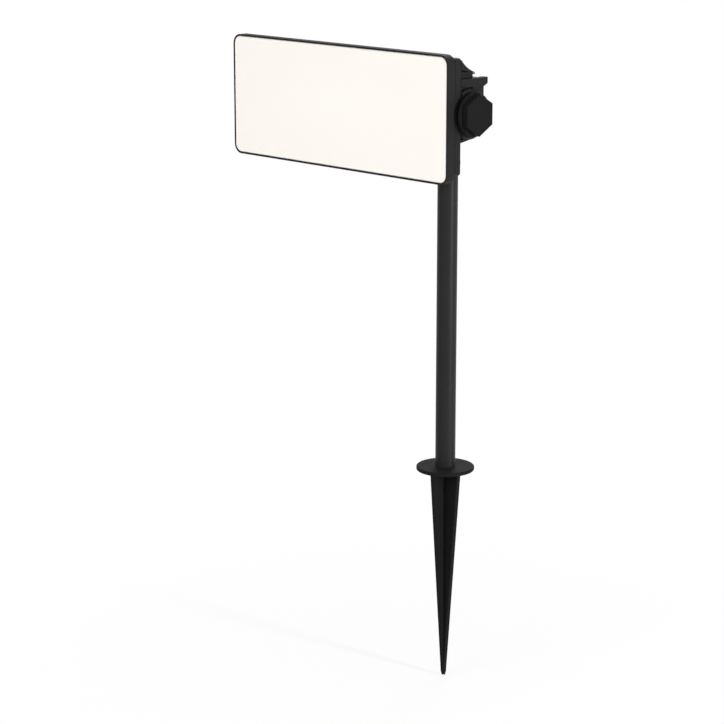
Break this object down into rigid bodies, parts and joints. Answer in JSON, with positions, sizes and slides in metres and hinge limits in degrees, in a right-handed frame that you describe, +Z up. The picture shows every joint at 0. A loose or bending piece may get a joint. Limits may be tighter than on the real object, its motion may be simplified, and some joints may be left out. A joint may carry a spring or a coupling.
{
  "type": "garden spike light",
  "caption": "Garden light on a ground spike: flat rectangular lamp head with an opal front, hinged at its right-hand end on a round pole and clamped by a hexagonal knob.",
  "frame": {"origin": "on the pole's axis at ground level, in the plane of the underside of the spike's flange", "axes": "+Z up along the pole, -Y the way the upright lamp head faces, +X towards the clamp knob"},
  "size_m": [0.2891, 0.0539, 0.5704],
  "materials": {
    "body_paint": "cast aluminium, black satin powder coat",
    "pole_paint": "black satin powder coat on steel tube",
    "spike_plastic": "black moulded glass-filled nylon",
    "knob_plastic": "black moulded nylon, fine texture",
    "opal_plastic": "opal warm white diffuser, satin",
    "seal_rubber": "black silicone rubber",
    "white_plastic": "white reflective sheet",
    "board_metal": "white solder mask on aluminium",
    "led_phosphor": "yellow phosphor",
    "pad_rubber": "grey thermal pad",
    "fastener_steel": "black oxide steel",
    "insert_brass": "machined brass",
    "circuit_board": "green solder mask",
    "winding_plastic": "dark moulded bobbin and core",
    "can_metal": "sleeved aluminium can",
    "terminal_plastic": "pale moulded plastic",
    "gland_plastic": "black moulded nylon",
    "bush_plastic": "natural acetal"
  },
  "bodies": {
    "stand": {"spike": "spike_plastic", "pole_tube": "pole_paint", "pole_screw": "fastener_steel", "knuckle": "body_paint", "knuckle_bushes": "bush_plastic"},
    "head": {"front_frame": "body_paint", "rear_cover": "body_paint", "driver_lid": "body_paint", "hinge_yoke": "body_paint", "diffuser": "opal_plastic", "diffuser_gasket": "seal_rubber", "cover_gasket": "seal_rubber", "lid_gasket": "seal_rubber", "gland_seal": "seal_rubber", "reflector_tray": "white_plastic", "led_board": "board_metal", "leds": "led_phosphor", "thermal_pad": "pad_rubber", "cover_screws": "fastener_steel", "yoke_screws": "fastener_steel", "lid_screws": "fastener_steel", "driver_board_screws": "fastener_steel", "pivot_bolt": "fastener_steel", "driver_board": "circuit_board", "transformer": "winding_plastic", "capacitor": "can_metal", "terminal_block": "terminal_plastic", "board_connector": "terminal_plastic", "gland_body": "gland_plastic", "gland_locknut": "gland_plastic", "gland_nut": "gland_plastic"},
    "washer": {"thrust_washer": "fastener_steel"},
    "knob": {"hex_knob": "knob_plastic", "knob_insert": "insert_brass"}
  },
  "joints": [
    {"name": "head_tilt", "type": "hinge", "parent": "stand", "child": "head", "pos_m": [0, 0, 0.322], "axis": [-1, 0, 0], "range_deg": [0, 90]},
    {"name": "knob_advance", "type": "slide", "parent": "head", "child": "washer", "axis": [1, 0, 0], "range_m": [0, 0.0025]},
    {"name": "knob_turn", "type": "hinge", "parent": "washer", "child": "knob", "pos_m": [0.0286, 0, 0.322], "axis": [1, 0, 0], "range_deg": [0, 720]}
  ],
  "couplings": [
    {"joint": "knob_turn", "follows": "knob_advance", "rad_per_m": 5026.5}
  ]
}
